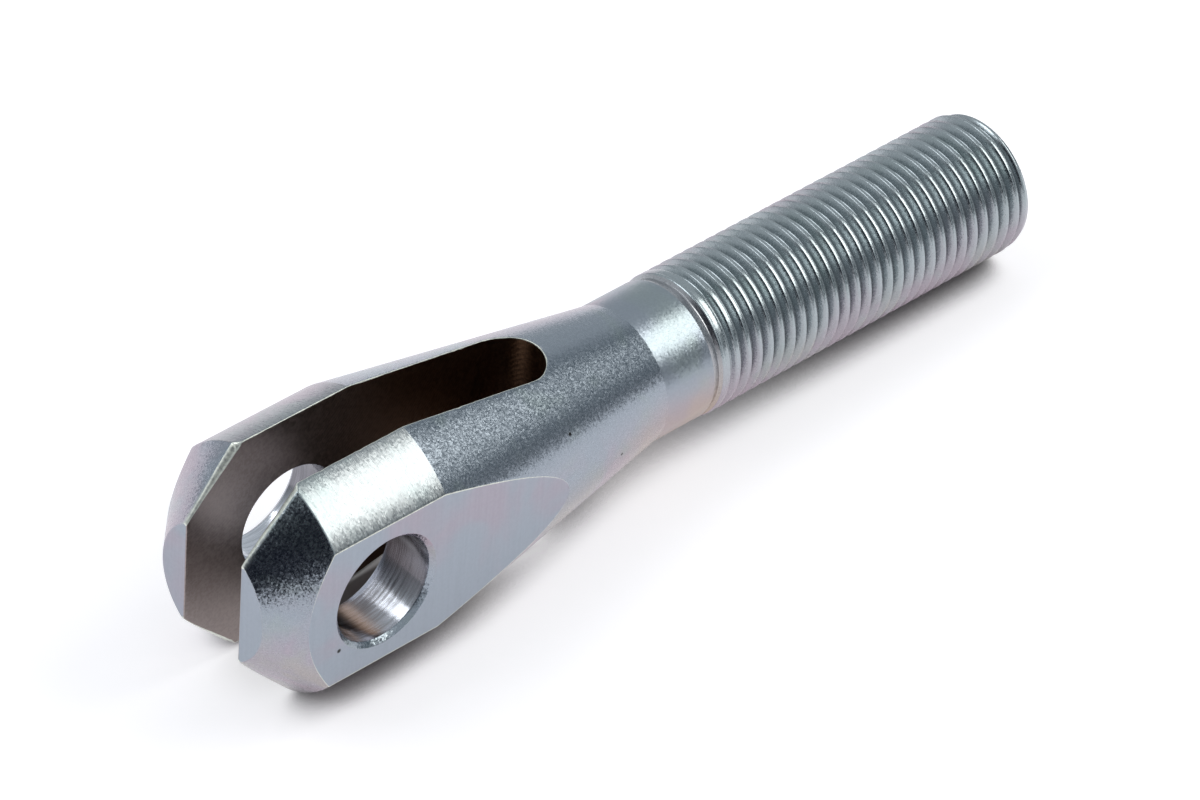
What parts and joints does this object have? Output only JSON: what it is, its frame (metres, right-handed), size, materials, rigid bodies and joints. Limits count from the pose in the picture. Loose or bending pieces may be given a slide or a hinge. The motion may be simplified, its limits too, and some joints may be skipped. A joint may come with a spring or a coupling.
{
  "type": "clevis rod end",
  "caption": "One-piece male clevis rod end: forked head with a round-ended slot, a cross pin hole and milled side flats, tapering to a shank with a left-hand thread.",
  "frame": {"origin": "centre of the pin hole, midway between the two ears", "axes": "+X along the shank towards the threaded end, +Y along the pin hole, +Z out of the slot's upper side"},
  "size_m": [0.0857, 0.0168, 0.0206],
  "materials": {
    "zinc_plated_steel": "turned and milled steel with clear zinc plating"
  },
  "bodies": {
    "root": {"clevis_rod_end": "zinc_plated_steel"}
  },
  "joints": []
}
